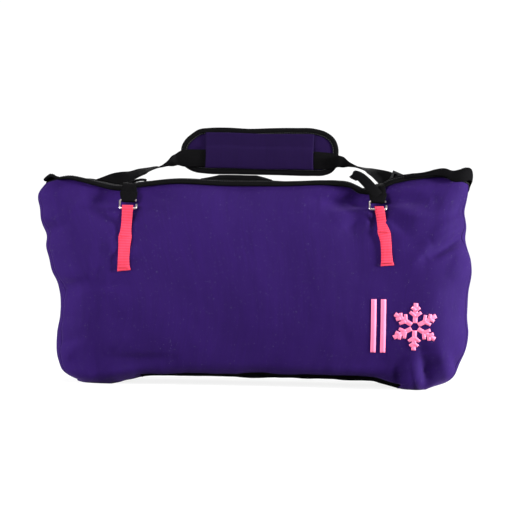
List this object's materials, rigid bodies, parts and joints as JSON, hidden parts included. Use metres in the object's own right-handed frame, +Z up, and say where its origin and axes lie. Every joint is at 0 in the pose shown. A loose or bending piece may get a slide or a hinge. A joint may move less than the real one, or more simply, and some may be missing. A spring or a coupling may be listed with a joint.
{
  "type": "skate bag",
  "caption": "Soft holdall for skates or rope, with a hook-down hinged lid, wire hooks on webbing drops, front loop tabs, and a shoulder strap with a sliding pad.",
  "frame": {"origin": "on the ground under the middle of the bag's bounding box", "axes": "+X along the bag's length to the viewer's right, -Y out of the front face, +Z up"},
  "size_m": [0.606, 0.2048, 0.362],
  "materials": {
    "purple_fabric": "matte plain-weave polyester with a slight sheen",
    "black_fabric": "matte coated polyester",
    "binding_tape": "ribbed grosgrain tape",
    "black_webbing": "woven polyester webbing",
    "pink_webbing": "woven polyester webbing",
    "pad_fabric": "matte plain-weave polyester",
    "pad_mesh": "spacer mesh",
    "foam": "closed-cell foam",
    "board": "matte sheet",
    "steel_wire": "drawn wire, nickel plated",
    "black_plastic": "moulded acetal"
  },
  "bodies": {
    "bag": {"front_panel": "purple_fabric", "back_panel": "purple_fabric", "left_end_panel": "purple_fabric", "right_end_panel": "purple_fabric", "base_panel": "black_fabric", "base_board": "board", "mouth_binding": "binding_tape", "left_loop_tab": "pink_webbing", "right_loop_tab": "pink_webbing", "left_ring_tab": "black_webbing", "right_ring_tab": "black_webbing"},
    "lid": {"lid_panel": "black_fabric", "lid_binding": "binding_tape", "grab_handle": "black_webbing", "left_strap_over": "black_webbing", "right_strap_over": "black_webbing", "left_strap_tail": "black_webbing", "right_strap_tail": "black_webbing"},
    "left_hook_drop": {"left_hook_strap": "black_webbing", "left_hook": "steel_wire"},
    "right_hook_drop": {"right_hook_strap": "black_webbing", "right_hook": "steel_wire"},
    "shoulder_strap": {"left_d_ring": "steel_wire", "right_d_ring": "steel_wire", "left_strap_leg": "black_webbing", "right_strap_leg": "black_webbing", "strap_middle": "black_webbing"},
    "adjuster": {"strap_adjuster": "black_plastic"},
    "pad": {"pad_face": "pad_fabric", "pad_core": "foam", "pad_back": "pad_mesh", "pad_binding": "binding_tape", "pad_sleeve": "pad_fabric"}
  },
  "joints": [
    {"name": "lid_open", "type": "hinge", "parent": "bag", "child": "lid", "pos_m": [0, 0.0485, 0.2802], "axis": [1, 0, 0], "range_deg": [-80, 0]},
    {"name": "left_hook_swing", "type": "hinge", "parent": "lid", "child": "left_hook_drop", "pos_m": [-0.174, -0.0505, 0.2817], "axis": [1, 0, 0], "range_deg": [-100, 0]},
    {"name": "right_hook_swing", "type": "hinge", "parent": "lid", "child": "right_hook_drop", "pos_m": [0.166, -0.0505, 0.2817], "axis": [1, 0, 0], "range_deg": [-100, 0]},
    {"name": "shoulder_strap_swing", "type": "hinge", "parent": "bag", "child": "shoulder_strap", "pos_m": [0.0035, 0.064, 0.262], "axis": [1, 0, 0], "range_deg": [-125, 15]},
    {"name": "pad_slide", "type": "slide", "parent": "shoulder_strap", "child": "pad", "axis": [1, 0, 0], "range_m": [-0.008, 0.008]},
    {"name": "strap_adjust", "type": "slide", "parent": "shoulder_strap", "child": "adjuster", "axis": [0.9285, 0, -0.3714], "range_m": [-0.05, 0]}
  ]
}
